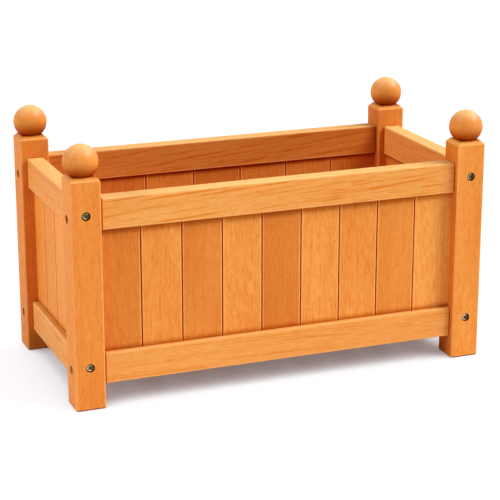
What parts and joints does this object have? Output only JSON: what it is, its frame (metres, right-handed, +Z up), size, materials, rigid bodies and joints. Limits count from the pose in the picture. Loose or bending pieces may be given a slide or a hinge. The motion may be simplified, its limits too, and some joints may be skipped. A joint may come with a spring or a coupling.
{
  "type": "garden planter",
  "caption": "Rectangular hardwood garden planter with tongue-and-groove board walls between grooved rails, square corner posts topped with ball finials, and a slatted draining floor.",
  "frame": {"origin": "middle of the ground under the planter, level with the undersides of its four feet", "axes": "+X along the length to the right seen from the front, +Y from the front to the back, +Z up"},
  "size_m": [0.737, 0.367, 0.4367],
  "materials": {
    "post_timber": "satin oiled honey-brown hardwood, grain upright",
    "turned_timber": "smooth turned and oiled honey-brown hardwood",
    "rail_timber": "satin oiled honey-brown hardwood, grain along the rail",
    "board_timber": "satin oiled hardwood boards, each of its own tone",
    "floor_timber": "planed hardwood, thinly oiled",
    "bolt_steel": "zinc-plated steel"
  },
  "bodies": {
    "root": {"corner_post_front_left": "post_timber", "corner_post_front_right": "post_timber", "corner_post_back_left": "post_timber", "corner_post_back_right": "post_timber", "ball_finial_front_left": "turned_timber", "ball_finial_front_right": "turned_timber", "ball_finial_back_left": "turned_timber", "ball_finial_back_right": "turned_timber", "front_top_rail": "rail_timber", "front_bottom_rail": "rail_timber", "back_top_rail": "rail_timber", "back_bottom_rail": "rail_timber", "left_top_rail": "rail_timber", "left_bottom_rail": "rail_timber", "right_top_rail": "rail_timber", "right_bottom_rail": "rail_timber", "front_board_1": "board_timber", "front_board_2": "board_timber", "front_board_3": "board_timber", "front_board_4": "board_timber", "front_board_5": "board_timber", "front_board_6": "board_timber", "front_board_7": "board_timber", "front_board_8": "board_timber", "front_board_9": "board_timber", "back_board_1": "board_timber", "back_board_2": "board_timber", "back_board_3": "board_timber", "back_board_4": "board_timber", "back_board_5": "board_timber", "back_board_6": "board_timber", "back_board_7": "board_timber", "left_board_1": "board_timber", "left_board_2": "board_timber", "left_board_3": "board_timber", "left_board_4": "board_timber", "right_board_1": "board_timber", "right_board_2": "board_timber", "right_board_3": "board_timber", "right_board_4": "board_timber", "front_floor_batten": "floor_timber", "back_floor_batten": "floor_timber", "floor_slat_1": "floor_timber", "floor_slat_2": "floor_timber", "floor_slat_3": "floor_timber", "floor_slat_4": "floor_timber", "floor_slat_5": "floor_timber", "floor_slat_6": "floor_timber", "floor_slat_7": "floor_timber", "floor_slat_8": "floor_timber", "floor_slat_9": "floor_timber", "front_bolts": "bolt_steel", "back_bolts": "bolt_steel", "left_bolts": "bolt_steel", "right_bolts": "bolt_steel"}
  },
  "joints": []
}
